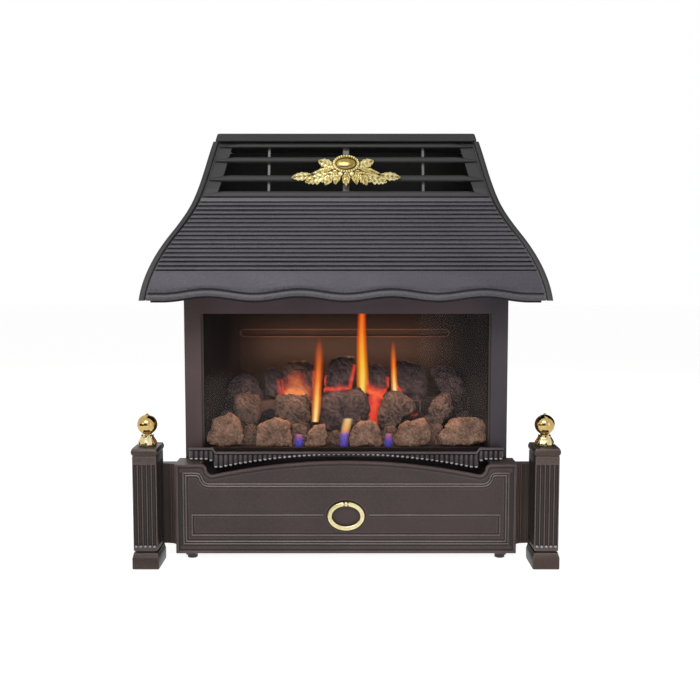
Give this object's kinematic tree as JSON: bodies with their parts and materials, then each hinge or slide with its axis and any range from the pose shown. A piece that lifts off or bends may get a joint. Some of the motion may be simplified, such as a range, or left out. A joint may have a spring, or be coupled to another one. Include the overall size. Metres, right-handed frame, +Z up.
{
  "type": "gas fire",
  "caption": "Outset coal-effect gas fire: cast bell canopy with grille, glazed firebox of ceramic coals, ribbed grate, loose fret with ring pull, fluted posts with brass balls.",
  "frame": {"origin": "on the hearth, at the middle of the whole fire's plan, spigot included", "axes": "+X to the fire's right as seen from the front, +Y back towards the wall, +Z up"},
  "size_m": [0.63, 0.29, 0.646],
  "materials": {
    "canopy": "matt black stove paint with a slight grey sheen on a fine sand-cast grain",
    "front_casting": "matt brown-black stove paint on a fine sand-cast grain",
    "polished_brass": "polished and lacquered",
    "case_sheet": "satin black heat-proof paint on folded sheet",
    "surround_sheet": "satin bronze-black paint on folded sheet",
    "window_glass": "clear ceramic glass",
    "rope_seal": "woven glass-fibre rope",
    "plain_steel": "plain steel, a little heat-tinted",
    "firebox_board": "matt heat-stained ceramic-fibre board",
    "ceramic_coal": "matt painted ceramic fibre, ashy grey-brown",
    "brass_fitting": "machined brass, dull",
    "black_plastic": "black heat-resistant plastic",
    "electrode_ceramic": "glazed white insulator",
    "flame": "glowing gas flame shown in the dressed model only"
  },
  "bodies": {
    "fire": {"hood_front": "canopy", "hood_grille": "canopy", "grille_comb": "canopy", "hood_left_cheek": "canopy", "hood_right_cheek": "canopy", "hood_top": "canopy", "grate": "front_casting", "wing_left": "front_casting", "wing_right": "front_casting", "post_left": "front_casting", "post_right": "front_casting", "post_cap_left": "front_casting", "post_cap_right": "front_casting", "badge_spray": "polished_brass", "badge_medallion": "polished_brass", "finial_ball_left": "polished_brass", "finial_ball_right": "polished_brass", "finial_foot_left": "polished_brass", "finial_foot_right": "polished_brass", "case_back": "case_sheet", "case_floor": "case_sheet", "case_left_side": "case_sheet", "case_right_side": "case_sheet", "firebox_shelf": "case_sheet", "firebox_baffle": "case_sheet", "flue_box": "case_sheet", "control_bracket": "case_sheet", "window_surround": "surround_sheet", "window_glass": "window_glass", "glass_rope_seal": "rope_seal", "glass_retainer_left": "plain_steel", "glass_retainer_right": "plain_steel", "flue_spigot": "plain_steel", "burner": "plain_steel", "firebox_left_cheek": "firebox_board", "firebox_right_cheek": "firebox_board", "firebox_back": "firebox_board", "fuel_bed": "firebox_board", "rear_coals": "ceramic_coal", "front_coals": "ceramic_coal", "loose_coal_1": "ceramic_coal", "loose_coal_2": "ceramic_coal", "loose_coal_3": "ceramic_coal", "loose_coal_4": "ceramic_coal", "loose_coal_5": "ceramic_coal", "gas_tap": "brass_fitting", "injector": "brass_fitting", "pilot_jet": "brass_fitting", "feed_pipe": "brass_fitting", "inlet_pipe": "brass_fitting", "igniter_body": "black_plastic", "ignition_lead": "black_plastic", "spark_electrode": "electrode_ceramic"},
    "fret": {"fret_panel": "front_casting", "ring_boss": "polished_brass"},
    "ring": {"ring_pull": "polished_brass"},
    "tap_push": {"tap_collar": "plain_steel"},
    "tap_turn": {"tap_spindle": "plain_steel", "control_knob": "black_plastic"},
    "igniter_push": {"igniter_button": "black_plastic"}
  },
  "joints": [
    {"name": "fret_lift_off", "type": "slide", "parent": "fire", "child": "fret", "axis": [0, -1, 0], "range_m": [0, 0.1]},
    {"name": "ring_swing", "type": "hinge", "parent": "fret", "child": "ring", "pos_m": [0, -0.0977, 0.0868], "axis": [-1, 0, 0], "range_deg": [0, 85]},
    {"name": "tap_push", "type": "slide", "parent": "fire", "child": "tap_push", "axis": [0, 1, 0], "range_m": [0, 0.004], "stiffness_N_per_m": 600, "springref_m": -0.002},
    {"name": "tap_turn", "type": "hinge", "parent": "tap_push", "child": "tap_turn", "pos_m": [0.16, -0.073, 0.062], "axis": [0, -1, 0], "range_deg": [0, 180]},
    {"name": "igniter_push", "type": "slide", "parent": "fire", "child": "igniter_push", "axis": [0, 1, 0], "range_m": [0, 0.006], "stiffness_N_per_m": 500, "springref_m": -0.002}
  ]
}
